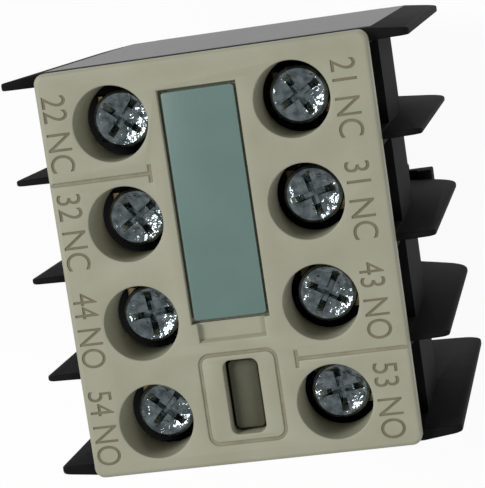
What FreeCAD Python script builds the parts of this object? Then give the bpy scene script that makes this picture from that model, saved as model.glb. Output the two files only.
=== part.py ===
import FreeCAD, Part
import math
import os

# A clip-on auxiliary contact block with four poles: two normally closed, two normally open.
# Millimetres. +Z points out of the front face, +X to the odd-numbered terminals, +Y to the first pole.
# The part stands on its rear feet at Z = 0, and X = Y = 0 is the middle of the housing.

# Overall
end_draft = 0.35            # how far each end wall leans out towards the rear
fin_reach = 3.4             # how far the partition fins stand out past the body's sides
foot_length = 7.0           # rear feet, which reach into the device that carries the block
body_x = 29.2               # front body and cover, across the terminal sides
side_step = 2.3             # how much the sides step in at the narrower rear body
step_depth = 24.0           # from the front face to the step in the body's sides

# Poles and terminals
pole_names = (("21", "22"), ("31", "32"), ("43", "44"), ("53", "54"))   # (+X, -X) terminal of each pole
closed_poles = (0, 1)       # the normally closed poles
pole_pitch = 8.8
end_room = 0.4              # from the last pole's share of the face to the face's end
poles_mid_y = -0.2          # the poles sit a little below the middle of the face
columns_mid_x = -0.4        # and a little to its left
column_inset = 6.65         # from the body's side to its row of screws, if both rows sat in the middle

# Walls
outer_wall = 1.1
barrier = 1.2
fin_root = 0.8              # thickness of an inner fin where it leaves the body
fin_tip = 0.5               # and at its tip
fin_shift = 0.15            # the inner fins sit a little above the middles of the barriers
outer_fin_tip = 0.65        # thickness of an outer fin at its tip
outer_fin_lean = 0.4        # how far an outer fin's outer face leans in at its tip
outer_fin_rise = 1.0        # how far an outer fin's back edge slopes up to its tip
outer_fin_round = 2.2       # rounding of its rear corner
fin_back_gap = 0.3          # from the rear face to the fins' back edges at the body
fin_rise = 6.2              # how far the back edges slope up from the body to the tips
fin_front_round = 0.8
fin_back_round = 7.0

# Front cover
cover_plate = 1.3
cover_gap = 0.15            # parting line between cover and housing
cover_corner = 0.9
cover_edge = 0.45           # rounding of the cover's front edge
screw_hole = 6.6            # diameter of the screwdriver holes
collar_wall = 0.65
collar_depth = 6.0          # from the face to the end of a collar
collar_corner = 1.5
fit_gap = 0.1               # moulded pieces that are pushed together
pad_half_x = 3.7            # thicker strip of the cover between the screw collars
pad_drop = 0.8
pad_margin = 2.0            # from the ends of the face to the strip and the outer faces of the tongues
tongue_width = 4.0          # locating tongues at the two ends of the pad
tongue_thick = 0.8
tongue_length = 5.0

# Label plate and its recess
label_x = 6.4
label_margin = 3.0          # from the upper end of the face to the label
label_thick = 0.7
label_corner = 0.3
label_gap = 0.25
label_shift = -0.1          # how far the label sits from the columns' centre line
label_depth = 1.0
notch_y = 1.45              # pry notch under the label
notch_depth = 0.55

# Indicator window
window_shift_x = 0.15       # from the middle of the frame to the middle of the window
window_shift_y = 0.05
window_x = 3.1
window_y = 6.6
window_corner = 0.7
frame_margin = 1.8          # from the lower end of the face to the frame
label_frame_gap = 3.0       # between the label and the frame, with room for the pry notch
frame_x = 7.0
frame_y = 8.2
frame_corner = 1.0
line_width = 0.28
line_depth = 0.15
line_end = 5.15             # where the engraved lines stop, from the columns' centre line
line_tick = 1.5
line_drop = 0.3             # how far the lines sit below the barriers' middles

# Mechanism
stroke = 4.5                # travel of the contact carrier
contact_gap = 3.0           # open gap between a bridge and its fixed contacts
face_gap = 0.05             # between faces that touch and part
end_gap = 0.4               # left under the carrier at full travel
base_thick = 3.0
carrier_x = 4.4
carrier_wall = 1.3          # outside the last bridge, at each end of the carrier
carrier_round = 0.6
carrier_roof = 2.55         # above the highest window
guide_gap = 0.15
open_rise = 15.0            # from the base plate to the fixed contact face of an open pole
closed_rise = 6.0           # and from there to that of a closed pole
bridge_width = 4.0
bridge_thick = 0.8
bridge_gap = 0.2            # between a bridge and the sides of its window
tip_half = 0.8              # half the width of a square contact tip
tip_height = 0.6
tip_offset = 3.9            # from the centre line to each pair of contact tips
tip_margin = 1.0            # from a tip's middle to the end of the bridge or foot that carries it
spring_length = 6.0         # contact spring against its stop
indicator_gap = 0.25        # between the indicator and its window
indicator_depth = 1.2       # indicator below the face at rest
peg_x = 3.6
peg_y = 5.0
peg_reach = 2.0             # how far the coupling peg stands out of the rear face at rest
peg_notch = 1.2

# Terminals
strip_thick = 1.0
strip_width = 4.0
clamp_drop = 9.0            # from the front face to the shelf that carries the terminal plates
screw_room = 10.4           # under the shelf, down to the feet of the closed poles' contacts
plate_width = 4.8
plate_corner = 1.2
plate_reach = 2.5           # from a screw's axis to the plate's inner end
leg_reach = 2.85            # and to the outer face of the leg
bend_radius = 0.9
shelf_gap = 0.15
thread_radius = 1.7
thread_gap = 0.05
washer_x = 5.0              # small enough to rise inside a screwdriver hole
washer_y = 5.0
washer_thick = 1.0
washer_bore = 1.95
washer_lip = 0.35
washer_corner = 1.5
head_radius = 2.65
head_height = 2.2
head_slope = 0.35           # chamfer round the head's front
shank_length = 7.5
recess_length = 4.4
recess_width = 0.9
recess_depth = 1.3

# Springs
contact_wire = 0.2
contact_coil = 1.4
contact_turns = 3.0
return_wire = 0.25
return_coil = 1.45
return_turns = 5.0
coil_steps = 10             # straight lengths in one turn of a spring
return_offset = 8.6         # the two return springs stand this far on each side of the coupling peg
spigot_height = 1.5         # square pegs on the base plate that centre the return springs
spigot_width = 1.4
return_pocket = 4.0

# Rear hooks
hook_inset = 3.3            # from the sides of the rear body to the inner faces of the hooks' shanks
hook_margin = 7.5           # from the ends of the face to the middles of the hooks
hook_thick = 2.0
hook_width = 4.4
hook_nose = 1.2
hook_nose_height = 2.2
tongue_slot = 0.8           # slots that free the latch tongue
latch_width = 2.7
latch_root = 4.0
latch_reach = 0.6           # how far the release tab stands out past the front body
latch_thick = 1.6

# Small allowances
past = 1.0                  # how far a cutting shape runs past what it cuts, and a root into a wall
pick = 0.01                 # tolerance for finding an edge by its place

# Worked out from the sizes above
width_y = len(pole_names) * pole_pitch + 2 * end_room
span_x = body_x + 2 * fin_reach
rear_body_x = body_x - 2 * side_step
column_half = body_x / 2 - column_inset
pad_half_y = width_y / 2 - pad_margin
label_y = width_y - label_margin - label_frame_gap - frame_y - frame_margin
label_mid = (columns_mid_x + label_shift, width_y / 2 - label_margin - label_y / 2)
frame_mid = (columns_mid_x, frame_margin + frame_y / 2 - width_y / 2)
window_mid = (frame_mid[0] + window_shift_x, frame_mid[1] + window_shift_y)
middle_pole = (len(pole_names) - 1) / 2
carrier_end = middle_pole * pole_pitch + bridge_width / 2 + carrier_wall
bridge_half = tip_offset + tip_margin
foot_inner = tip_offset - tip_margin
plate_inner = column_half - plate_reach
leg_outer = column_half + leg_reach
hook_x = rear_body_x / 2 - hook_inset
hook_y = width_y / 2 - hook_margin
latch_tab = body_x / 2 + latch_reach
rear_z = foot_length
base_z = rear_z + base_thick
peg_end = rear_z - peg_reach
open_plane = base_z + open_rise
closed_plane = open_plane + closed_rise
clamp_seat = closed_plane + tip_height + screw_room
face_z = clamp_seat + clamp_drop
plate_z = face_z - cover_plate
rim_z = plate_z - cover_gap
step_z = face_z - step_depth
highest_window = open_plane + face_gap + contact_gap + tip_height + bridge_thick + spring_length
carrier_top = highest_window + carrier_roof
carrier_bottom = base_z + stroke + end_gap
wipe = stroke - contact_gap
chamber_half = (pole_pitch - barrier) / 2
screw_hole_radius = screw_hole / 2
washer_z = clamp_seat + strip_thick + face_gap
head_z = washer_z + washer_thick + face_gap
head_top = head_z + head_height
pocket_half_y = bridge_width / 2 + 2 * bridge_gap
pocket_half_x = bridge_half + 2 * bridge_gap
channel_half_y = strip_width / 2 + shelf_gap
channel_end = leg_outer + shelf_gap
centre_top = plate_z - pad_drop - fit_gap
carrier_room = carrier_top + 2 * end_gap


def vec(x, y, z):
    return FreeCAD.Vector(x, y, z)


def box(x0, x1, y0, y1, z0, z1):
    low = vec(min(x0, x1), min(y0, y1), min(z0, z1))
    return Part.makeBox(abs(x1 - x0), abs(y1 - y0), abs(z1 - z0), low)


def cylinder(radius, x, y, z0, z1):
    return Part.makeCylinder(radius, z1 - z0, vec(x, y, z0))


def rounded(solid, radius, wanted):
    edges = [e for e in solid.Edges if wanted(e)]
    return solid.makeFillet(radius, edges)


def along(edge, axis):
    """True for a straight edge that runs along the axis."""
    if edge.Curve.TypeId != "Part::GeomLine":
        return False
    return abs(edge.Curve.Direction.dot(axis)) > 0.999


def rounded_box(x0, x1, y0, y1, z0, z1, radius):
    """A box with its four upright edges rounded."""
    block = box(x0, x1, y0, y1, z0, z1)
    return rounded(block, radius, lambda e: along(e, vec(0, 0, 1)))


def prism_x(outline, x0, x1):
    """A solid with an outline given in Y and Z, from x0 to x1."""
    points = [vec(x0, y, z) for y, z in outline]
    return Part.Face(Part.makePolygon(points + points[:1])).extrude(vec(x1 - x0, 0, 0))


def prism_y(outline, y0, y1):
    """A solid with an outline given in X and Z, from y0 to y1."""
    points = [vec(x, y0, z) for x, z in outline]
    return Part.Face(Part.makePolygon(points + points[:1])).extrude(vec(0, y1 - y0, 0))


def prism_z(outline, z0, z1):
    """A solid with an outline given in X and Y, from z0 to z1."""
    points = [vec(x, y, z0) for x, y in outline]
    return Part.Face(Part.makePolygon(points + points[:1])).extrude(vec(0, 0, z1 - z0))


def cut_corner_box(x0, x1, y0, y1, z0, z1, cut):
    """A box with its four upright edges cut off at 45 degrees."""
    x0, x1 = sorted((x0, x1))
    outline = [
        (x0 + cut, y0), (x1 - cut, y0), (x1, y0 + cut), (x1, y1 - cut),
        (x1 - cut, y1), (x0 + cut, y1), (x0, y1 - cut), (x0, y0 + cut),
    ]
    return prism_z(outline, z0, z1)


def pole_y(pole):
    return poles_mid_y + (middle_pole - pole) * pole_pitch


def side_x(side, distance):
    """A distance from the mechanism's centre line, towards the terminals of one side."""
    return columns_mid_x + side * distance


def terminals():
    """Every terminal as (name, side, pole): side +1 is the odd-numbered row."""
    for pole, (plus, minus) in enumerate(pole_names):
        yield plus, 1, pole
        yield minus, -1, pole


def barrier_y(index):
    return poles_mid_y + index * pole_pitch


# Housing

def end_faces():
    """A block as deep as the housing whose two ends lean out towards the rear, wider than all else."""
    front, rear = width_y / 2, width_y / 2 + end_draft
    outline = [(-rear, rear_z), (rear, rear_z), (front, rim_z), (-front, rim_z)]
    return prism_x(outline, -span_x, span_x)


def housing_body():
    """The front and rear bodies, with a slope where the sides step in."""
    half_y = width_y / 2 + end_draft
    front = box(-body_x / 2, body_x / 2, -half_y, half_y, step_z, rim_z)
    rear = box(-rear_body_x / 2, rear_body_x / 2, -half_y, half_y, rear_z, step_z)
    run = (body_x - rear_body_x) / 2
    slopes = []
    for side in (-1, 1):
        outer = side * body_x / 2
        inner = side * rear_body_x / 2
        slopes.append(prism_y([(outer, step_z), (outer, step_z + run), (inner, step_z)], -half_y, half_y))
    return front.cut(slopes).fuse(rear).removeSplitter()


def fin_outline(side, rise, back_round):
    """The side view of a fin as a thick plate, with a sloping back edge and a rounded tip."""
    root = side * (rear_body_x / 2 - past)
    tip = side * span_x / 2
    low = rear_z + fin_back_gap
    outline = [(root, low), (tip, low + rise), (tip, rim_z), (root, rim_z)]
    plate = prism_y(outline, -width_y, width_y)
    plate = rounded(plate, fin_front_round, lambda e: tip_edge(e, tip, rim_z))
    return rounded(plate, back_round, lambda e: tip_edge(e, tip, low + rise))


def tip_edge(edge, tip, z):
    """True for the edge along Y at a fin's tip and at the height z."""
    middle = edge.CenterOfMass
    return along(edge, vec(0, 1, 0)) and abs(middle.x - tip) < pick and abs(middle.z - z) < pick


def inner_fins():
    """The barriers between the poles, which stand out past the body on both sides."""
    fins = []
    for side in (-1, 1):
        outline = fin_outline(side, fin_rise, fin_back_round)
        start = side * (rear_body_x / 2 - past)
        tip = side * span_x / 2
        for index in (-1, 0, 1):
            y = barrier_y(index) + fin_shift
            section = [
                (start, y - fin_root / 2),
                (tip, y - fin_tip / 2),
                (tip, y + fin_tip / 2),
                (start, y + fin_root / 2),
            ]
            fins.append(outline.common(prism_z(section, 0, face_z)))
    return fins


def leaning_prism(outline, end):
    """A solid with an outline given in X and Y at the rear, which leans as the end wall does."""
    points = [vec(x, y, rear_z) for x, y in outline]
    way = vec(0, -end * end_draft, rim_z - rear_z)
    return Part.Face(Part.makePolygon(points + points[:1])).extrude(way)


def outer_fins():
    """The fins of the end walls, which bend in a little and get thinner towards their tips."""
    fins = []
    for side in (-1, 1):
        outline = fin_outline(side, outer_fin_rise, outer_fin_round)
        start = side * (rear_body_x / 2 - past)
        root = side * body_x / 2
        tip = side * span_x / 2
        for end in (-1, 1):
            outer = end * (width_y / 2 + end_draft)
            inner = outer - end * outer_wall
            tip_outer = outer - end * outer_fin_lean
            tip_inner = tip_outer - end * outer_fin_tip
            section = [
                (start, inner), (start, outer), (root, outer),
                (tip, tip_outer), (tip, tip_inner), (root, inner),
            ]
            fins.append(outline.common(leaning_prism(section, end)))
    return fins


def terminal_chamber(side, pole):
    """Room for a terminal's plate, washer and screw, open to the front and to the side."""
    y = pole_y(pole)
    inner = side_x(side, column_half - screw_hole_radius - collar_wall - fit_gap)
    outer = side * body_x / 2
    return box(inner, outer, y - chamber_half, y + chamber_half, clamp_seat, face_z)


def strip_channel(side, pole):
    """Slot under the shelf for the leg and foot of a fixed contact."""
    y = pole_y(pole)
    floor = foot_bottom(pole)
    return box(side_x(side, foot_inner), side_x(side, channel_end), y - channel_half_y, y + channel_half_y,
               floor, face_z)


def pole_pocket(pole):
    """Room for a contact bridge, open to the rear."""
    y = pole_y(pole)
    return box(side_x(-1, pocket_half_x), side_x(1, pocket_half_x), y - pocket_half_y, y + pocket_half_y,
               rear_z, carrier_room)


def carrier_slot():
    """The slot that guides the contact carrier through all four poles."""
    half_x = carrier_x / 2 + guide_gap
    half_y = carrier_end + guide_gap
    slot = box(side_x(-1, half_x), side_x(1, half_x), poles_mid_y - half_y, poles_mid_y + half_y,
               rear_z, carrier_room)
    x, y = window_mid
    half_x = window_x / 2 - indicator_gap + guide_gap
    half_y = window_y / 2 - indicator_gap + guide_gap
    return slot.fuse(box(x - half_x, x + half_x, y - half_y, y + half_y, carrier_room - past, face_z))


def tongue_boxes(gap):
    """The cover's locating tongues, or with a gap the slots that take them."""
    x = columns_mid_x
    tongues = []
    for end in (-1, 1):
        outer = end * (pad_half_y + gap)
        inner = end * (pad_half_y - tongue_thick - gap)
        low = plate_z - pad_drop - tongue_length - gap
        half_x = tongue_width / 2 + gap
        tongues.append(box(x - half_x, x + half_x, inner, outer, low, plate_z))
    return tongues


def rear_opening():
    """The recess that the base plate closes."""
    half_x = rear_body_x / 2 - outer_wall
    half_y = width_y / 2 - outer_wall
    return box(-half_x, half_x, -half_y, half_y, rear_z, base_z)


def core_pockets():
    """Pockets cored from the rear, so that the walls between the poles stay thin."""
    cores = []
    for _, side, pole in terminals():
        y = pole_y(pole)
        inner = side_x(side, pocket_half_x + barrier)
        outer = side * (rear_body_x / 2 - outer_wall)
        half = chamber_half - barrier / 2
        cores.append(box(inner, outer, y - half, y + half, rear_z, foot_bottom(pole) - barrier))
    return cores


def tab_opening():
    """Notch in the side wall for the latch's release tab."""
    half = latch_width / 2 + fit_gap
    return box(rear_body_x / 2 - 2 * outer_wall, body_x / 2 + past, poles_mid_y - half, poles_mid_y + half,
               rear_z, base_z)


def pad_recess():
    """Room for the thicker strip of the cover between the two rows of collars."""
    half_x = column_half - screw_hole_radius - collar_wall - fit_gap
    half_y = width_y / 2 - outer_wall
    return box(side_x(-1, half_x), side_x(1, half_x), -half_y, half_y, centre_top, face_z)


def housing():
    solid = housing_body().common(end_faces()).multiFuse(inner_fins() + outer_fins())
    cuts = [terminal_chamber(side, pole) for _, side, pole in terminals()]
    cuts += [strip_channel(side, pole) for _, side, pole in terminals()]
    cuts += [pole_pocket(pole) for pole in range(len(pole_names))]
    cuts += tongue_boxes(fit_gap)
    cuts += core_pockets()
    cuts += [carrier_slot(), rear_opening(), tab_opening(), pad_recess()]
    return solid.cut(cuts).removeSplitter()


# Front cover

def cover_collars():
    """The blocks behind the cover whose bores lead a screwdriver to the screws."""
    collars = []
    half_x = screw_hole_radius + collar_wall
    half_y = chamber_half - fit_gap
    for _, side, pole in terminals():
        x = side_x(side, column_half)
        y = pole_y(pole)
        collars.append(cut_corner_box(x - half_x, x + half_x, y - half_y, y + half_y,
                                      face_z - collar_depth, plate_z, collar_corner))
    return collars


def engraved_frame():
    x, y = frame_mid
    half_x, half_y = frame_x / 2, frame_y / 2
    low = face_z - line_depth
    outer = rounded_box(x - half_x, x + half_x, y - half_y, y + half_y, low, face_z, frame_corner)
    half_x, half_y = half_x - line_width, half_y - line_width
    inner_corner = frame_corner - line_width
    inner = rounded_box(x - half_x, x + half_x, y - half_y, y + half_y, low, face_z, inner_corner)
    return outer.cut(inner)


def engraved_lines():
    """Two lines with ticks: under the first even terminal, and over the last odd one."""
    cuts = []
    for side, index in ((-1, 1), (1, -1)):
        y = barrier_y(index) - line_drop
        end = side_x(side, line_end)
        low, high = sorted((side * body_x / 2, end))
        cuts.append(box(low, high, y - line_width / 2, y + line_width / 2, face_z - line_depth, face_z))
        cuts.append(box(end - line_width / 2, end + line_width / 2, y - line_tick / 2, y + line_tick / 2,
                        face_z - line_depth, face_z))
    return cuts


def label_recess():
    x, y = label_mid
    half_x = label_x / 2 + label_gap
    half_y = label_y / 2 + label_gap
    return box(x - half_x, x + half_x, y - half_y, y + half_y, face_z - label_depth, face_z)


def pry_notch():
    """A sloping notch at the label's lower end, for lifting it out."""
    x, y = label_mid
    top = y - label_y / 2 - label_gap
    half_x = label_x / 2 - label_gap
    end = top - notch_y
    low = face_z - notch_depth
    outline = [(top, face_z), (top, low), (end, low), (end - notch_depth / 2, face_z)]
    return prism_x(outline, x - half_x, x + half_x)


def front_cover():
    half_x, half_y = body_x / 2, width_y / 2
    plate = rounded_box(-half_x, half_x, -half_y, half_y, plate_z, face_z, cover_corner)
    plate = rounded(plate, cover_edge, lambda e: e.BoundBox.ZMin > face_z - pick)
    x = columns_mid_x
    pad = box(x - pad_half_x, x + pad_half_x, -pad_half_y, pad_half_y, plate_z - pad_drop, plate_z)
    cover = plate.multiFuse([pad] + cover_collars() + tongue_boxes(0))
    cuts = [label_recess(), pry_notch(), engraved_frame()] + engraved_lines()
    for _, side, pole in terminals():
        cuts.append(cylinder(screw_hole_radius, side_x(side, column_half), pole_y(pole), 0, face_z + past))
    x, y = window_mid
    cuts.append(rounded_box(x - window_x / 2, x + window_x / 2, y - window_y / 2, y + window_y / 2,
                            plate_z - pad_drop - past, face_z + past, window_corner))
    return cover.cut(cuts).removeSplitter()


def label_plate():
    x, y = label_mid
    low = face_z - label_depth
    return rounded_box(x - label_x / 2, x + label_x / 2, y - label_y / 2, y + label_y / 2,
                       low, low + label_thick, label_corner)


# Rear: base plate, hooks and latch

def hook(side, y, nose):
    """A rear hook: a shank below the base plate with a nose at its end."""
    inner = side * hook_x
    outer = side * (hook_x + hook_thick)
    shank = box(inner, outer, y - hook_width / 2, y + hook_width / 2, 0, base_z)
    if not nose:
        return shank
    tip = outer + side * hook_nose
    outline = [(outer, 0), (tip, hook_nose), (tip, hook_nose_height), (outer, hook_nose_height)]
    return shank.fuse(prism_y(outline, y - hook_width / 2, y + hook_width / 2))


def latch_tongue():
    """The springy tongue with its own hook and the release tab that shows at the side."""
    half = latch_width / 2
    y = poles_mid_y
    bar = box(latch_root, latch_tab, y - half, y + half, rear_z, rear_z + latch_thick)
    grip = box(latch_tab - latch_thick, latch_tab, y - half, y + half, rear_z, base_z)
    catch = hook(1, y, True).common(box(0, span_x, y - half, y + half, face_gap, rear_z + latch_thick))
    return bar.multiFuse([grip, catch])


def base_plate():
    half_x = rear_body_x / 2 - outer_wall - fit_gap
    half_y = width_y / 2 - outer_wall - fit_gap
    plate = box(-half_x, half_x, -half_y, half_y, rear_z, base_z)
    half = latch_width / 2 + tongue_slot
    y = poles_mid_y
    plate = plate.cut(box(latch_root, span_x, y - half, y + half, 0, base_z))
    x = columns_mid_x
    hole_x = peg_x / 2 + guide_gap
    hole_y = peg_y / 2 + guide_gap
    plate = plate.cut(box(x - hole_x, x + hole_x, y - hole_y, y + hole_y, 0, base_z))
    hooks = [hook(side, end * hook_y, side < 0) for side in (-1, 1) for end in (-1, 1)]
    spigots = []
    half = spigot_width / 2
    for end in (-1, 1):
        spigot_y = y + end * return_offset
        spigots.append(box(x - half, x + half, spigot_y - half, spigot_y + half,
                           base_z, base_z + spigot_height))
    return plate.multiFuse(hooks + spigots + [latch_tongue()]).removeSplitter()


# Contact carrier

def bridge_bottom(pole):
    """Height of the underside of a pole's bridge strip at rest."""
    if pole in closed_poles:
        return closed_plane - face_gap - tip_height - bridge_thick
    return open_plane + face_gap + contact_gap + tip_height


def window_heights(pole):
    """Lowest and highest points of a pole's window in the carrier, with room for its spring."""
    low = bridge_bottom(pole)
    high = low + bridge_thick
    if pole in closed_poles:
        return low - (spring_length - wipe), high + wipe + face_gap
    return low - face_gap, high + spring_length


def contact_carrier():
    x, y = columns_mid_x, poles_mid_y
    half_x = carrier_x / 2
    plate = box(x - half_x, x + half_x, y - carrier_end, y + carrier_end, carrier_bottom, carrier_top)
    plate = rounded(plate, carrier_round, lambda e: along(e, vec(0, 0, 1)))
    wx, wy = window_mid
    half_wx = window_x / 2 - indicator_gap
    half_wy = window_y / 2 - indicator_gap
    stem = rounded_box(wx - half_wx, wx + half_wx, wy - half_wy, wy + half_wy,
                       carrier_top - past, face_z - indicator_depth, window_corner - indicator_gap)
    peg = box(x - peg_x / 2, x + peg_x / 2, y - peg_y / 2, y + peg_y / 2, peg_end, carrier_bottom + past)
    notch = box(x - peg_x / 2, x + peg_x / 2, y - peg_y / 2, y - peg_y / 2 + peg_notch,
                peg_end + peg_notch, peg_end + 2 * peg_notch)
    carrier = plate.multiFuse([stem, peg]).cut(notch)
    cuts = []
    half_y = bridge_width / 2 + bridge_gap
    for pole in range(len(pole_names)):
        low, high = window_heights(pole)
        cuts.append(box(x - half_x, x + half_x, pole_y(pole) - half_y, pole_y(pole) + half_y, low, high))
    half = return_coil + return_wire + fit_gap
    for end in (-1, 1):
        pocket_y = y + end * return_offset
        cuts.append(box(x - half, x + half, pocket_y - half, pocket_y + half,
                        carrier_bottom, carrier_bottom + return_pocket))
    return carrier.cut(cuts).removeSplitter()


def contact_bridge(pole):
    """A flat strip across the carrier that joins the two fixed contacts of its pole."""
    x, y = columns_mid_x, pole_y(pole)
    low = bridge_bottom(pole)
    return cut_corner_box(x - bridge_half, x + bridge_half, y - bridge_width / 2, y + bridge_width / 2,
                          low, low + bridge_thick, bridge_width / 4)


def tip_block(side, pole, low, high):
    """One square contact tip."""
    x, y = side_x(side, tip_offset), pole_y(pole)
    return box(x - tip_half, x + tip_half, y - tip_half, y + tip_half, low, high)


def bridge_tips(pole):
    """The two contact buttons on a bridge, on the side that meets the fixed contacts."""
    low = bridge_bottom(pole)
    if pole in closed_poles:
        start, end = low + bridge_thick, low + bridge_thick + tip_height
    else:
        start, end = low - tip_height, low
    return Part.makeCompound([tip_block(side, pole, start, end) for side in (-1, 1)])


def coil(radius, wire, turns, height):
    """A spring from Z = 0 to the given height, whose wire runs in short straight lengths."""
    rise = height - 2 * wire
    steps = round(turns * coil_steps)
    points = []
    for i in range(steps + 1):
        angle = 2 * math.pi * i / coil_steps
        points.append(vec(radius * math.cos(angle), radius * math.sin(angle), wire + rise * i / steps))
    corners = [
        vec(radius + wire, 0, wire),
        vec(radius, 0, 2 * wire),
        vec(radius - wire, 0, wire),
        vec(radius, 0, 0),
    ]
    section = Part.makePolygon(corners + corners[:1])
    right_corner = 1
    return Part.makePolygon(points).makePipeShell([section], True, False, right_corner)


def contact_spring(pole):
    low, high = window_heights(pole)
    if pole in closed_poles:
        start, end = low, bridge_bottom(pole)
    else:
        start, end = bridge_bottom(pole) + bridge_thick, high
    spring = coil(contact_coil, contact_wire, contact_turns, end - start - 2 * face_gap)
    return spring.translated(vec(columns_mid_x, pole_y(pole), start + face_gap))


def return_springs():
    height = carrier_bottom + return_pocket - base_z - 2 * face_gap
    springs = []
    for end in (-1, 1):
        spring = coil(return_coil, return_wire, return_turns, height)
        y = poles_mid_y + end * return_offset
        springs.append(spring.translated(vec(columns_mid_x, y, base_z + face_gap)))
    return Part.makeCompound(springs)


# Terminals

def foot_bottom(pole):
    """Height of the underside of a fixed contact's foot."""
    if pole in closed_poles:
        return closed_plane + tip_height
    return open_plane - tip_height - strip_thick


def fixed_contact(side, pole):
    """A strip bent from the terminal plate down a leg to the foot that carries the contact tip."""
    y = pole_y(pole)
    foot = foot_bottom(pole)
    top = clamp_seat + strip_thick
    outline = [
        (plate_inner, top),
        (leg_outer, top),
        (leg_outer, foot),
        (foot_inner, foot),
        (foot_inner, foot + strip_thick),
        (leg_outer - strip_thick, foot + strip_thick),
        (leg_outer - strip_thick, clamp_seat),
        (plate_inner, clamp_seat),
    ]
    strip = prism_y([(side_x(side, x), z) for x, z in outline], y - strip_width / 2, y + strip_width / 2)
    outer_x = side_x(side, leg_outer)
    bends = [e for e in strip.Edges if along(e, vec(0, 1, 0)) and abs(e.CenterOfMass.x - outer_x) < pick]
    strip = strip.makeFillet(bend_radius, bends)
    inner_end = side_x(side, plate_inner)
    outer_end = side_x(side, leg_outer - bend_radius)
    half = plate_width / 2
    plate = cut_corner_box(inner_end, outer_end, y - half, y + half, clamp_seat, top, plate_corner)
    hole = cylinder(thread_radius + thread_gap, side_x(side, column_half), y, clamp_seat - past, top + past)
    return strip.fuse(plate).cut(hole).removeSplitter()


def fixed_tip(side, pole):
    foot = foot_bottom(pole)
    if pole in closed_poles:
        low, high = foot - tip_height, foot
    else:
        low, high = foot + strip_thick, foot + strip_thick + tip_height
    return tip_block(side, pole, low, high)


def clamp_washer(side, pole):
    """The square washer under a screw, with down-turned edges that keep the strands in."""
    x, y = side_x(side, column_half), pole_y(pole)
    half_x, half_y = washer_x / 2, washer_y / 2
    low = washer_z
    top = low + washer_thick
    lip_top = low + washer_lip
    plate = cut_corner_box(x - half_x, x + half_x, y - half_y, y + half_y, low, top, washer_corner)
    groove_y = half_y - washer_lip
    groove = box(x - half_x, x + half_x, y - groove_y, y + groove_y, low, lip_top)
    ridge = box(x - half_x, x + half_x, y - washer_lip, y + washer_lip, low, lip_top)
    bore = cylinder(washer_bore, x, y, low, top)
    return plate.cut(groove).fuse(ridge).cut(bore).removeSplitter()


def terminal_screw(side, pole):
    """A pan-head screw with a cross recess; its thread is drawn as a plain shank."""
    x, y = side_x(side, column_half), pole_y(pole)
    head = cylinder(head_radius, x, y, head_z, head_top)
    head = head.makeChamfer(head_slope, [e for e in head.Edges if e.BoundBox.ZMin > head_top - pick])
    shank = cylinder(thread_radius, x, y, head_z - shank_length, head_z)
    half, slot = recess_length / 2, recess_width / 2
    cross = box(x - half, x + half, y - slot, y + slot, head_top - recess_depth, head_top)
    cross = cross.fuse(box(x - slot, x + slot, y - half, y + half, head_top - recess_depth, head_top))
    return head.fuse(shank).cut(cross).removeSplitter()


def all_pieces():
    yield "front_cover", front_cover()
    yield "housing", housing()
    yield "base_plate", base_plate()
    yield "label_plate", label_plate()
    yield "contact_carrier", contact_carrier()
    yield "return_springs", return_springs()
    for pole, (plus, minus) in enumerate(pole_names):
        name = plus + "_" + minus
        yield "contact_bridge_" + name, contact_bridge(pole)
        yield "bridge_tips_" + name, bridge_tips(pole)
        yield "contact_spring_" + name, contact_spring(pole)
    for name, side, pole in terminals():
        yield "fixed_contact_" + name, fixed_contact(side, pole)
        yield "fixed_tip_" + name, fixed_tip(side, pole)
        yield "clamp_washer_" + name, clamp_washer(side, pole)
        yield "terminal_screw_" + name, terminal_screw(side, pole)


os.makedirs("parts", exist_ok=True)
for node, shape in all_pieces():
    shape.exportStep("parts/" + node + ".step")
    print(node, len(shape.Solids), round(shape.Volume, 2), shape.isValid())
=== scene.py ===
import math
import random

import bmesh
import bpy
from mathutils import Matrix, Vector


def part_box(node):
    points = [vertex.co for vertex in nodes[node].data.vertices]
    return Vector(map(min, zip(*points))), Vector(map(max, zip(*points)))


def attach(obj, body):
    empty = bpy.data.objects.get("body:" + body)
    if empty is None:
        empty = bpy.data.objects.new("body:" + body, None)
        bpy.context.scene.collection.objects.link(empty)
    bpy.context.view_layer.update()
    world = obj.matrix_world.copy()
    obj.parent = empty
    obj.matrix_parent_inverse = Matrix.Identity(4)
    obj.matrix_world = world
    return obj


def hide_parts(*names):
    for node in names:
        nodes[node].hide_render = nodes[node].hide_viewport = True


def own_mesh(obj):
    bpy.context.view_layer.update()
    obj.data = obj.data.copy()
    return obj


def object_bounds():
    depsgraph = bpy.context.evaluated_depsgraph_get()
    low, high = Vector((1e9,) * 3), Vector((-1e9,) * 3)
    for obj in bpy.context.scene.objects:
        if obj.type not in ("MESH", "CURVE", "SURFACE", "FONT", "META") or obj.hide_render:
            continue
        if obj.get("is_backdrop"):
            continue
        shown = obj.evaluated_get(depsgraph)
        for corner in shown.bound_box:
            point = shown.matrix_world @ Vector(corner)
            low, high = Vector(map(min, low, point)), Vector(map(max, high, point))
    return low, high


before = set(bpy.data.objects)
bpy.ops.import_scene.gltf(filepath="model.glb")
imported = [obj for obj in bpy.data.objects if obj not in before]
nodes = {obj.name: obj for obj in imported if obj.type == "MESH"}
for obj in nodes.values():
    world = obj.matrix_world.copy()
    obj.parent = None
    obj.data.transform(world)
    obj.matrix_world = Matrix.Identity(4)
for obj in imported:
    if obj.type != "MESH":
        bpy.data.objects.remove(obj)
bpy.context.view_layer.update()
scene = bpy.context.scene

MM = 0.001


# Front cover.
# One moulding in beige grey thermoplastic, pushed on to the housing and held by two tongues. The tool leaves a
# fine grain on it, and the terminal numbers and the lines are engraved, with painted shade on their bottoms.

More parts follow.
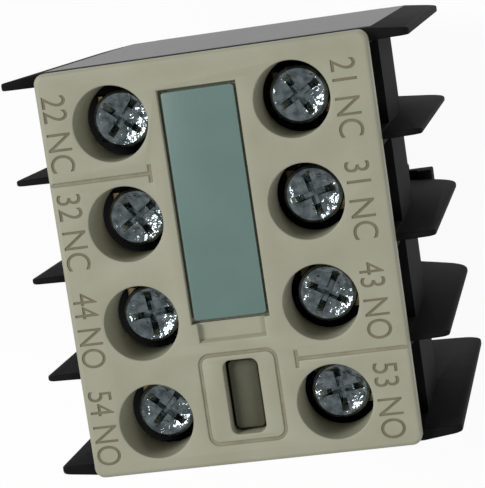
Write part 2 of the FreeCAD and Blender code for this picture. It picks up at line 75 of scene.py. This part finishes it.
COVER_LIGHT = (0.342, 0.337, 0.249, 1)
COVER_DARK = (0.308, 0.302, 0.217, 1)
COVER_EDGE = 0.12 * MM
FACE_HEIGHT = 51.0 * MM
LINE_DEPTH = 0.15 * MM
MARK_DEPTH = 0.08 * MM
MARK_LENGTH = 6.7 * MM
MARK_HEIGHT = 2.15 * MM
WALL_TOP = FACE_HEIGHT - 1.2 * MM
CURVED_FACET = 20 * MM * MM
MERGE = 0.0005 * MM
SAME_PLANE = math.radians(0.5)
ROUNDED_ANGLE = math.radians(32)
SHARP_ANGLE = math.radians(40)
LEAST_BEND = 0.02
MOST_BEND = 0.4
FACING = 0.9
SAME_DEPTH = 0.02 * MM
SLANT = Vector((1, 1.7321, 2.6458))
MARKS = (
    ("21 NC", 12.25, 12.5), ("31 NC", 12.25, 3.7), ("43 NO", 12.25, -5.0), ("53 NO", 12.25, -13.8),
    ("22 NC", -13.04, 12.7), ("32 NC", -13.04, 4.05), ("44 NO", -13.04, -4.7), ("54 NO", -13.04, -13.5),
)


def grained_material(name, light, dark, roughness, patch, grain, bump, shine=0.5):
    """A moulded surface: two close tones in soft patches, and a fine grain in its height."""
    material = bpy.data.materials.new(name)
    material.use_nodes = True
    tree = material.node_tree
    shader = tree.nodes["Principled BSDF"]
    shader.inputs["Roughness"].default_value = roughness
    shader.inputs["Specular IOR Level"].default_value = shine
    place = tree.nodes.new("ShaderNodeTexCoord")
    patches = tree.nodes.new("ShaderNodeTexNoise")
    patches.inputs["Scale"].default_value = patch
    patches.inputs["Detail"].default_value = 4
    tones = tree.nodes.new("ShaderNodeValToRGB")
    tones.color_ramp.elements[0].position = 0.3
    tones.color_ramp.elements[0].color = dark
    tones.color_ramp.elements[1].position = 0.7
    tones.color_ramp.elements[1].color = light
    grains = tree.nodes.new("ShaderNodeTexNoise")
    grains.inputs["Scale"].default_value = grain
    grains.inputs["Detail"].default_value = 2
    height = tree.nodes.new("ShaderNodeBump")
    height.inputs["Strength"].default_value = bump
    height.inputs["Distance"].default_value = 0.05 * MM
    tree.links.new(place.outputs["Object"], patches.inputs["Vector"])
    tree.links.new(place.outputs["Object"], grains.inputs["Vector"])
    tree.links.new(patches.outputs["Fac"], tones.inputs["Fac"])
    tree.links.new(tones.outputs["Color"], shader.inputs["Base Color"])
    tree.links.new(grains.outputs["Fac"], height.inputs["Height"])
    tree.links.new(height.outputs["Normal"], shader.inputs["Normal"])
    return material


def shade_curves(form):
    """Smooth shading where small facets follow a curve, and flat shading elsewhere."""
    for face in form.faces:
        bends = [e.calc_face_angle() for e in face.edges if len(e.link_faces) == 2]
        face.smooth = face.calc_area() < CURVED_FACET and any(LEAST_BEND < bend < MOST_BEND for bend in bends)


def rounded_copy(node, edge, wanted=None):
    """A copy of a CAD node whose flat faces are whole again and whose wanted sharp edges are rounded."""
    form = bmesh.new()
    form.from_mesh(nodes[node].data)
    bmesh.ops.remove_doubles(form, verts=form.verts, dist=MERGE)
    bmesh.ops.dissolve_limit(form, angle_limit=SAME_PLANE, use_dissolve_boundaries=False,
                             verts=form.verts, edges=form.edges, delimit=set())
    shade_curves(form)
    sharp = [e for e in form.edges if len(e.link_faces) == 2 and e.calc_face_angle() > ROUNDED_ANGLE]
    if wanted:
        sharp = [e for e in sharp if wanted((e.verts[0].co + e.verts[1].co) / 2)]
    rounding = bmesh.ops.bevel(form, geom=sharp, offset=edge, offset_type="OFFSET", segments=3, profile=0.5,
                               affect="EDGES", clamp_overlap=False, material=-1)
    for face in rounding["faces"]:
        face.smooth = True
    return form


def put_in_order(form):
    """Sorts corners and faces along one slanting line, because a cut leaves them in an order of its own each run."""
    form.verts.sort(key=lambda corner: corner.co.dot(SLANT))
    form.faces.sort(key=lambda face: face.calc_center_median().dot(SLANT))


def finished(form, name, materials):
    """Turns a bmesh into an object of the scene whose sharp edges stay sharp."""
    mesh = bpy.data.meshes.new(name)
    form.to_mesh(mesh)
    form.free()
    if "custom_normal" in mesh.attributes:
        mesh.attributes.remove(mesh.attributes["custom_normal"])
    mesh.set_sharp_from_angle(angle=SHARP_ANGLE)
    for material in materials:
        mesh.materials.append(material)
    piece = bpy.data.objects.new(name, mesh)
    scene.collection.objects.link(piece)
    return piece


def mark_cutter(text, x, y):
    """The solid letters of one terminal's number, reading down the cover, as a mesh."""
    curve = bpy.data.curves.new("mark", "FONT")
    curve.body = text
    curve.extrude = 0.5
    letters = bpy.data.objects.new("mark", curve)
    scene.collection.objects.link(letters)
    bpy.context.view_layer.update()
    mesh = bpy.data.meshes.new_from_object(letters.evaluated_get(bpy.context.evaluated_depsgraph_get()))
    bpy.data.objects.remove(letters)
    low = Vector(min(v.co[i] for v in mesh.vertices) for i in range(3))
    high = Vector(max(v.co[i] for v in mesh.vertices) for i in range(3))
    mesh.transform(Matrix.Translation(-(low + high) / 2))
    size = high - low
    mesh.transform(Matrix.Diagonal((MARK_LENGTH / size.x, MARK_HEIGHT / size.y, 2 * MARK_DEPTH / size.z, 1)))
    mesh.transform(Matrix.Rotation(math.radians(-90), 4, "Z"))
    mesh.transform(Matrix.Translation((x * MM, y * MM, FACE_HEIGHT)))
    return mesh


cover_plastic = grained_material("cover_plastic", COVER_LIGHT, COVER_DARK,
                                 roughness=0.52, patch=260, grain=9000, bump=0.25)
# The next two tones are painted shade for the bottoms of the shallow grooves of the numbers and of the lines.
mark_groove_shade = grained_material("mark_groove_shade", (0.19, 0.167, 0.105, 1), (0.15, 0.132, 0.08, 1),
                            roughness=0.7, patch=900, grain=9000, bump=0.2)
line_groove_shade = grained_material("line_groove_shade", (0.27, 0.25, 0.17, 1), (0.22, 0.2, 0.135, 1),
                            roughness=0.7, patch=900, grain=9000, bump=0.2)

# The grooves of the engraved lines stay sharp at their bottoms.
form = rounded_copy("front_cover", COVER_EDGE, lambda p: p.z > FACE_HEIGHT - 0.01 * MM or p.z < WALL_TOP)
cover = finished(form, "front_cover_moulding", [cover_plastic, mark_groove_shade, line_groove_shade])

cutters = bmesh.new()
for text, x, y in MARKS:
    cutters.from_mesh(mark_cutter(text, x, y))
bmesh.ops.remove_doubles(cutters, verts=cutters.verts, dist=MERGE)
shade_curves(cutters)
cutter = finished(cutters, "marks_cutter", [])
engraving = cover.modifiers.new("engraving", "BOOLEAN")
engraving.object = cutter
engraving.operation = "DIFFERENCE"
engraving.solver = "EXACT"
engraving.use_self = True
bpy.context.view_layer.update()
engraved = bpy.data.meshes.new_from_object(cover.evaluated_get(bpy.context.evaluated_depsgraph_get()))
cover.modifiers.clear()
cover.data = engraved
bpy.data.objects.remove(cutter)
form = bmesh.new()
form.from_mesh(engraved)
bmesh.ops.remove_doubles(form, verts=form.verts, dist=0.0002 * MM)
bmesh.ops.recalc_face_normals(form, faces=form.faces)
form.to_mesh(engraved)
form.free()

# The bottoms of the numbers and of the lines are darkened with painted shade, each with its own tone.
for face in engraved.polygons:
    depth = FACE_HEIGHT - face.center.z
    face.material_index = 0
    if face.normal.z > FACING and abs(depth - MARK_DEPTH) < SAME_DEPTH:
        face.material_index = 1
    if face.normal.z > FACING and abs(depth - LINE_DEPTH) < SAME_DEPTH:
        face.material_index = 2
engraved.set_sharp_from_angle(angle=SHARP_ANGLE)
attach(cover, "housing_body")
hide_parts("front_cover")


# Housing and base plate.
# Two mouldings in black glass-filled plastic. The housing's walls part the poles and end as fins on both sides,
# and the base plate closes its rear and carries the hooks and the springy latch.

BLACK_LIGHT = (0.0105, 0.0105, 0.011, 1)
BLACK_DARK = (0.006, 0.006, 0.0065, 1)
BLACK_EDGE = 0.16 * MM
JOINT_FOOT = 46.6 * MM
ENTRY_WALL = 14.6 * MM
END_WALL = 17.9 * MM
OUTSIDE_X = 12.2 * MM
REAR_PLANE = 7.0 * MM
SLACK = 0.05 * MM

black_plastic = grained_material("black_plastic", BLACK_LIGHT, BLACK_DARK,
                                 roughness=0.72, patch=300, grain=5000, bump=0.5, shine=0.05)
smooth_black = grained_material("smooth_black", BLACK_LIGHT, BLACK_DARK,
                                roughness=0.36, patch=200, grain=3000, bump=0.06, shine=0.16)


def on_the_outside(p):
    """True where the housing's edges show, but not at the wire entries, whose side walls are too thin to round."""
    if abs(abs(p.x) - ENTRY_WALL) < SLACK:
        return False
    return abs(p.x) > OUTSIDE_X or abs(p.y) > END_WALL


def end_walls(form):
    """The faces of the housing's two long outer walls, between the outermost fins."""
    middles = [(face, face.calc_center_median()) for face in form.faces if abs(face.normal.y) > FACING]
    return [face for face, middle in middles if abs(middle.x) < ENTRY_WALL + 0.1 * MM and abs(middle.y) > END_WALL]


# The end walls are polished, except for a dull strip along the joint with the cover.
form = rounded_copy("housing", BLACK_EDGE, on_the_outside)
walls = end_walls(form)
edges = list(dict.fromkeys(edge for face in walls for edge in face.edges))
corners = list(dict.fromkeys(corner for face in walls for corner in face.verts))
bmesh.ops.bisect_plane(form, geom=walls + edges + corners, dist=MERGE,
                       plane_co=(0, 0, JOINT_FOOT), plane_no=(0, 0, 1))
for face in end_walls(form):
    if face.calc_center_median().z < JOINT_FOOT:
        face.material_index = 1
put_in_order(form)
housing = finished(form, "housing_moulding", [black_plastic, smooth_black])
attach(housing, "housing_body")
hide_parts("housing")

# The feet come within 0.1 mm of the plate's rim, so nothing is rounded in the plane of its rear face.
form = rounded_copy("base_plate", BLACK_EDGE, lambda p: abs(p.z - REAR_PLANE) > SLACK)
base = finished(form, "base_moulding", [black_plastic])
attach(base, "housing_body")
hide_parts("base_plate")


# Label plate.
# A small plate in petrol green plastic, moulded flat and held in the cover by friction. It takes a printed or
# written mark, and is bare here.

LABEL_EDGE = 0.1 * MM

label_plastic = grained_material("label_plastic", (0.133, 0.207, 0.184, 1), (0.117, 0.186, 0.165, 1),
                                 roughness=0.38, patch=180, grain=3000, bump=0.1)
form = rounded_copy("label_plate", LABEL_EDGE)
label = finished(form, "label_plate_moulding", [label_plastic])
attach(label, "housing_body")
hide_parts("label_plate")


# Contact carrier.
# One sliding moulding in dark olive plastic. Its stem shows in the window of the cover, and its peg at the rear
# is pulled by the device that carries the block.

CARRIER_EDGE = 0.12 * MM

carrier_plastic = grained_material("carrier_plastic", (0.083, 0.084, 0.05, 1), (0.062, 0.062, 0.036, 1),
                                   roughness=0.45, patch=400, grain=5000, bump=0.25)
form = rounded_copy("contact_carrier", CARRIER_EDGE)
carrier = finished(form, "carrier_moulding", [carrier_plastic])
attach(carrier, "carrier")
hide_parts("contact_carrier")


# Terminal screws.
# Steel pan-head screws, zinc plated bright and a little blue, with a cross recess. Each one was driven to its
# own angle, and its washer is caught under the head.

SCREW_ROWS = (("21", 7.55, 13.0), ("31", 7.55, 4.2), ("43", 7.55, -4.6), ("53", 7.55, -13.4),
              ("22", -8.35, 13.0), ("32", -8.35, 4.2), ("44", -8.35, -4.6), ("54", -8.35, -13.4))
HEAD_FOOT = 44.1
HEAD_OUTLINE = ((0, 1.96), (1.2, 1.97), (1.7, 2.03), (2.15, 2.18), (2.3, 2.2), (2.48, 2.08), (2.6, 1.8), (2.65, 1.4),
                (2.65, 0.12), (2.55, 0))
RECESS_MOUTH = (4.3, 0.7)
RECESS_BOTTOM = (2.0, 0.35)
RECESS_HEIGHTS = (1.0, 2.4)
THREAD_PITCH = 0.6
THREAD_OUTER = 1.7
THREAD_INNER = 1.38
THREAD_START = 0.25
SHANK_LENGTH = 7.5
TIP_RADIUS = 1.2
ROUND_STEPS = 48


def metal_material(name, light, dark, roughness, patch, bump, bump_scale, bump_depth=0.1):
    """Plated or bare metal: tone and gloss vary in small patches, over faint tool marks."""
    material = bpy.data.materials.new(name)
    material.use_nodes = True
    tree = material.node_tree
    shader = tree.nodes["Principled BSDF"]
    shader.inputs["Metallic"].default_value = 1
    place = tree.nodes.new("ShaderNodeTexCoord")
    patches = tree.nodes.new("ShaderNodeTexNoise")
    patches.inputs["Scale"].default_value = patch
    patches.inputs["Detail"].default_value = 5
    tones = tree.nodes.new("ShaderNodeValToRGB")
    tones.color_ramp.elements[0].position = 0.35
    tones.color_ramp.elements[0].color = dark
    tones.color_ramp.elements[1].position = 0.65
    tones.color_ramp.elements[1].color = light
    gloss = tree.nodes.new("ShaderNodeMapRange")
    gloss.inputs["From Min"].default_value = 0.3
    gloss.inputs["From Max"].default_value = 0.7
    gloss.inputs["To Min"].default_value = roughness * 0.7
    gloss.inputs["To Max"].default_value = roughness * 1.4
    marks = tree.nodes.new("ShaderNodeTexNoise")
    marks.inputs["Scale"].default_value = bump_scale
    marks.inputs["Detail"].default_value = 3
    height = tree.nodes.new("ShaderNodeBump")
    height.inputs["Strength"].default_value = bump
    height.inputs["Distance"].default_value = bump_depth * MM
    tree.links.new(place.outputs["Object"], patches.inputs["Vector"])
    tree.links.new(place.outputs["Object"], marks.inputs["Vector"])
    tree.links.new(patches.outputs["Fac"], tones.inputs["Fac"])
    tree.links.new(tones.outputs["Color"], shader.inputs["Base Color"])
    tree.links.new(patches.outputs["Fac"], gloss.inputs["Value"])
    tree.links.new(gloss.outputs["Result"], shader.inputs["Roughness"])
    tree.links.new(marks.outputs["Fac"], height.inputs["Height"])
    tree.links.new(height.outputs["Normal"], shader.inputs["Normal"])
    return material


def turned(outline):
    """A solid turned about Z from an outline of (radius, height) in millimetres, from axis to axis."""
    form = bmesh.new()
    points = [form.verts.new((r * MM, 0, z * MM)) for r, z in outline]
    edges = [form.edges.new(pair) for pair in zip(points, points[1:])]
    bmesh.ops.spin(form, geom=points + edges, cent=(0, 0, 0), axis=(0, 0, 1), dvec=(0, 0, 0),
                   angle=2 * math.pi, steps=ROUND_STEPS, use_merge=True)
    bmesh.ops.remove_doubles(form, verts=form.verts, dist=0.002 * MM)
    bmesh.ops.recalc_face_normals(form, faces=form.faces)
    return form


def recess_cutter(turn):
    """A cross that narrows towards its bottom, turned by an angle, over a head whose foot is at Z = 0."""
    form = bmesh.new()
    for quarter in (0, 1):
        bar = bmesh.ops.create_cube(form, size=1)["verts"]
        for v in bar:
            deep = v.co.z < 0
            length, width = RECESS_BOTTOM if deep else RECESS_MOUTH
            v.co.x *= length * MM
            v.co.y *= width * MM
            v.co.z = RECESS_HEIGHTS[0 if deep else 1] * MM
        bmesh.ops.rotate(form, verts=bar, cent=(0, 0, 0),
                         matrix=Matrix.Rotation(turn + quarter * math.pi / 2, 3, "Z"))
    return form


def carved(body, tool):
    """The first bmesh with the second cut out of it."""
    made = []
    for part, name in ((body, "carved_body"), (tool, "carving_tool")):
        mesh = bpy.data.meshes.new(name)
        part.to_mesh(mesh)
        part.free()
        thing = bpy.data.objects.new(name, mesh)
        scene.collection.objects.link(thing)
        made.append(thing)
    cut = made[0].modifiers.new("cut", "BOOLEAN")
    cut.object = made[1]
    cut.operation = "DIFFERENCE"
    cut.solver = "EXACT"
    cut.use_self = True
    bpy.context.view_layer.update()
    mesh = bpy.data.meshes.new_from_object(made[0].evaluated_get(bpy.context.evaluated_depsgraph_get()))
    for thing in made:
        bpy.data.objects.remove(thing)
    form = bmesh.new()
    form.from_mesh(mesh)
    put_in_order(form)
    for face in form.faces:
        face.smooth = True
    return form


def screw_outline():
    """A screw's half section, from the top of its head down the ridges of its thread to its tip."""
    shank = [(0, -SHANK_LENGTH), (TIP_RADIUS, -SHANK_LENGTH)]
    ridge = THREAD_START
    while ridge + THREAD_PITCH < SHANK_LENGTH:
        root = ridge - SHANK_LENGTH
        shank += [(THREAD_INNER, root), (THREAD_OUTER, root + THREAD_PITCH / 2)]
        ridge += THREAD_PITCH
    return (*HEAD_OUTLINE, (THREAD_INNER, 0), *reversed(shank))


zinc = metal_material("bright_zinc", (0.38, 0.435, 0.445, 1), (0.15, 0.18, 0.19, 1),
                      roughness=0.13, patch=1300, bump=1.0, bump_scale=1150, bump_depth=0.2)
turns = random.Random(7)
for name, x, y in SCREW_ROWS:
    form = carved(turned(screw_outline()), recess_cutter(turns.uniform(0, math.pi / 2)))
    bmesh.ops.translate(form, verts=form.verts, vec=(x * MM, y * MM, HEAD_FOOT * MM))
    screw = finished(form, "screw_" + name, [zinc])
    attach(screw, "screw_" + name)
    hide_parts("terminal_screw_" + name)


# Clamp washers.
# Square washers stamped from zinc plated steel, with a groove on each side of the screw for one wire.

WASHER_EDGE = 0.07 * MM

washer_zinc = metal_material("washer_zinc", (0.36, 0.39, 0.42, 1), (0.2, 0.22, 0.24, 1),
                             roughness=0.32, patch=900, bump=0.25, bump_scale=1800)
for name, _, _ in SCREW_ROWS:
    form = rounded_copy("clamp_washer_" + name, WASHER_EDGE)
    washer = finished(form, "washer_" + name, [washer_zinc])
    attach(washer, "clamp_" + name)
    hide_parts("clamp_washer_" + name)


# Fixed contacts and contact bridges.
# Strips of rolled brass, dulled by handling, with silver tips riveted on. The fixed contacts are bent, and
# the bridges are flat. Their solids have the right shape and take only a finish here.

brass = metal_material("rolled_brass", (0.34, 0.26, 0.14, 1), (0.22, 0.165, 0.085, 1),
                       roughness=0.45, patch=500, bump=0.15, bump_scale=2500)
silver = metal_material("contact_silver", (0.8, 0.78, 0.74, 1), (0.62, 0.6, 0.56, 1),
                        roughness=0.35, patch=900, bump=0.2, bump_scale=2500)
for node, thing in nodes.items():
    if node.startswith(("fixed_contact", "contact_bridge")):
        thing.data.materials.clear()
        thing.data.materials.append(brass)
    elif "tip" in node:
        thing.data.materials.clear()
        thing.data.materials.append(silver)


# Springs.
# Coils of drawn spring wire: two behind the carrier push it back, and one on each bridge presses it home.
# A coil is given by its mean radius, its wire's radius and its turns.

CONTACT_COIL = (1.4, 0.2, 3.0)
RETURN_COIL = (1.45, 0.25, 5.0)
SPRING_X = -0.4
POLE_ROWS = (("21_22", 13.0), ("31_32", 4.2), ("43_44", -4.6), ("53_54", -13.4))
RETURN_YS = (8.4, -8.8)
TURN_STEPS = 28
OPEN_POLES = ("43_44", "53_54")

spring_wire = metal_material("spring_wire", (0.6, 0.6, 0.61, 1), (0.42, 0.42, 0.43, 1),
                             roughness=0.28, patch=700, bump=0.1, bump_scale=3000)


def wound(name, radius, wire, turns, low, high, x, ys):
    """Round-wire coils about upright axes, as one mesh."""
    curve = bpy.data.curves.new(name, "CURVE")
    curve.dimensions = "3D"
    curve.bevel_depth = wire * MM
    curve.bevel_resolution = 3
    curve.use_fill_caps = True
    steps = round(turns * TURN_STEPS)
    for y in ys:
        line = curve.splines.new("POLY")
        line.points.add(steps)
        for i, point in enumerate(line.points):
            angle = 2 * math.pi * i / TURN_STEPS
            height = low + wire + (high - low - 2 * wire) * i / steps
            spot = ((x + radius * math.cos(angle)) * MM, (y + radius * math.sin(angle)) * MM, height * MM)
            point.co = (*spot, 1)
    drawn = bpy.data.objects.new(name, curve)
    scene.collection.objects.link(drawn)
    bpy.context.view_layer.update()
    mesh = bpy.data.meshes.new_from_object(drawn.evaluated_get(bpy.context.evaluated_depsgraph_get()))
    bpy.data.objects.remove(drawn)
    form = bmesh.new()
    form.from_mesh(mesh)
    bmesh.ops.remove_doubles(form, verts=form.verts, dist=MERGE)
    bmesh.ops.recalc_face_normals(form, faces=form.faces)
    for face in form.faces:
        face.smooth = True
    return form


# The springs of the open poles and the return springs, which flatten as the carrier goes in, each get a mesh of
# their own.
for pole, y in POLE_ROWS:
    low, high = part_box("contact_spring_" + pole)
    form = wound("spring_" + pole, *CONTACT_COIL, low.z / MM, high.z / MM, SPRING_X, (y,))
    spring = finished(form, "spring_" + pole, [spring_wire])
    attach(spring, "carrier")
    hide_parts("contact_spring_" + pole)
    if pole in OPEN_POLES:
        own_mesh(spring)
low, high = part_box("return_springs")
form = wound("return_coils", *RETURN_COIL, low.z / MM, high.z / MM, SPRING_X, RETURN_YS)
spring = finished(form, "return_coils", [spring_wire])
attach(spring, "housing_body")
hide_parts("return_springs")
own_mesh(spring)


# Floor, light and camera.
# The block stands on its rear feet on a plain pale table, under a soft lamp on its left, a weaker one on its
# right and an even sky, and is photographed from above.

FLOOR_SIZE = 3.0
FLOOR_GLOW = 0.93
LAMP_AIM = (0, 0, 0.04)
floor_form = bmesh.new()
bmesh.ops.create_grid(floor_form, x_segments=2, y_segments=2, size=FLOOR_SIZE / 2)
floor_paint = grained_material("floor_paint", (0.9, 0.9, 0.89, 1), (0.88, 0.88, 0.87, 1),
                               roughness=0.7, patch=6, grain=400, bump=0.05)
floor = finished(floor_form, "floor", [floor_paint])
floor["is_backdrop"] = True

# The table also glows evenly for the camera and in reflections, so that it stays white, with a light shadow.
paint_nodes = floor_paint.node_tree
seen = paint_nodes.nodes.new("ShaderNodeLightPath")
either = paint_nodes.nodes.new("ShaderNodeMath")
either.operation = "MAXIMUM"
share = paint_nodes.nodes.new("ShaderNodeMath")
share.operation = "MULTIPLY"
share.inputs[1].default_value = FLOOR_GLOW
glow = paint_nodes.nodes.new("ShaderNodeEmission")
glow.inputs["Color"].default_value = (1, 1, 1, 1)
glow.inputs["Strength"].default_value = 1
blend = paint_nodes.nodes.new("ShaderNodeMixShader")
paint_nodes.links.new(seen.outputs["Is Camera Ray"], either.inputs[0])
paint_nodes.links.new(seen.outputs["Is Glossy Ray"], either.inputs[1])
paint_nodes.links.new(either.outputs["Value"], share.inputs[0])
paint_nodes.links.new(share.outputs["Value"], blend.inputs["Fac"])
paint_nodes.links.new(paint_nodes.nodes["Principled BSDF"].outputs["BSDF"], blend.inputs[1])
paint_nodes.links.new(glow.outputs["Emission"], blend.inputs[2])
paint_nodes.links.new(blend.outputs["Shader"], paint_nodes.nodes["Material Output"].inputs["Surface"])

world = bpy.data.worlds.new("studio")
world.use_nodes = True
sky = world.node_tree.nodes["Background"]
sky.inputs["Color"].default_value = (0.92, 0.94, 0.97, 1)
sky.inputs["Strength"].default_value = 0.35
scene.world = world


def soft_lamp(name, place, size, power):
    """A square lamp that faces the middle of the block."""
    lamp = bpy.data.lights.new(name, "AREA")
    lamp.shape = "SQUARE"
    lamp.size = size
    lamp.energy = power
    thing = bpy.data.objects.new(name, lamp)
    thing.location = place
    thing.rotation_euler = (Vector(LAMP_AIM) - Vector(place)).to_track_quat("-Z", "Y").to_euler()
    scene.collection.objects.link(thing)


soft_lamp("key", (-0.34, 0.16, 0.43), size=0.22, power=2.05)
soft_lamp("fill", (0.3, -0.12, 0.38), size=0.12, power=0.55)

CAMERA_PLACE = Vector((32.022, 23.975, 223.299)) * MM
CAMERA_AIM = Vector((1.547, 1.237, 51.0)) * MM
CAMERA_UP = Vector((0.1221, 0.981, -0.1511))
aim = (CAMERA_AIM - CAMERA_PLACE).normalized()
right = aim.cross(CAMERA_UP).normalized()
turn = Matrix((right, right.cross(aim), -aim)).transposed()
lens = bpy.data.cameras.new("camera")
lens.lens = 151.56
lens.sensor_width = 36
lens.clip_start = 0.01
lens.clip_end = 10
camera = bpy.data.objects.new("camera", lens)
camera.matrix_world = Matrix.Translation(CAMERA_PLACE) @ turn.to_4x4()
scene.collection.objects.link(camera)
scene.camera = camera
scene.view_settings.view_transform = "Standard"

low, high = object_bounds()
